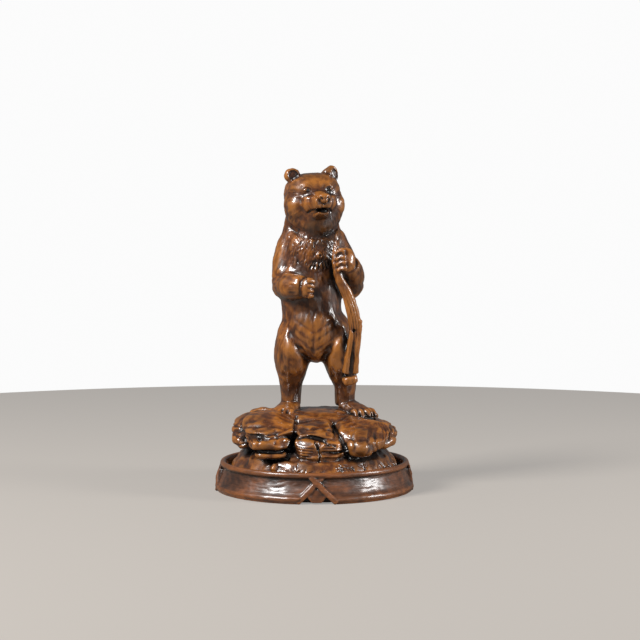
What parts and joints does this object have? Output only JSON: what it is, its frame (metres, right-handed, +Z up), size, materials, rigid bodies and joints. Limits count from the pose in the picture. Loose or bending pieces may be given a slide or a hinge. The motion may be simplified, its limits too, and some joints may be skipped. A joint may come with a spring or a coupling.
{
  "type": "carved bear figure",
  "caption": "Carved hardwood bear standing upright on split rocks with a crooked branch, set in a round moulded plinth.",
  "frame": {"origin": "centre of the plinth's underside, on the surface that it stands on", "axes": "+Z up; the bear faces -Y, and +X is the bear's own left"},
  "size_m": [0.1874, 0.1874, 0.3067],
  "materials": {
    "carving_wood": "stained and polished hardwood, dark patina in the carving",
    "plinth_wood": "stained and polished hardwood, duller on the panels"
  },
  "bodies": {
    "root": {"bear_on_rocks": "carving_wood", "plinth": "plinth_wood"}
  },
  "joints": []
}
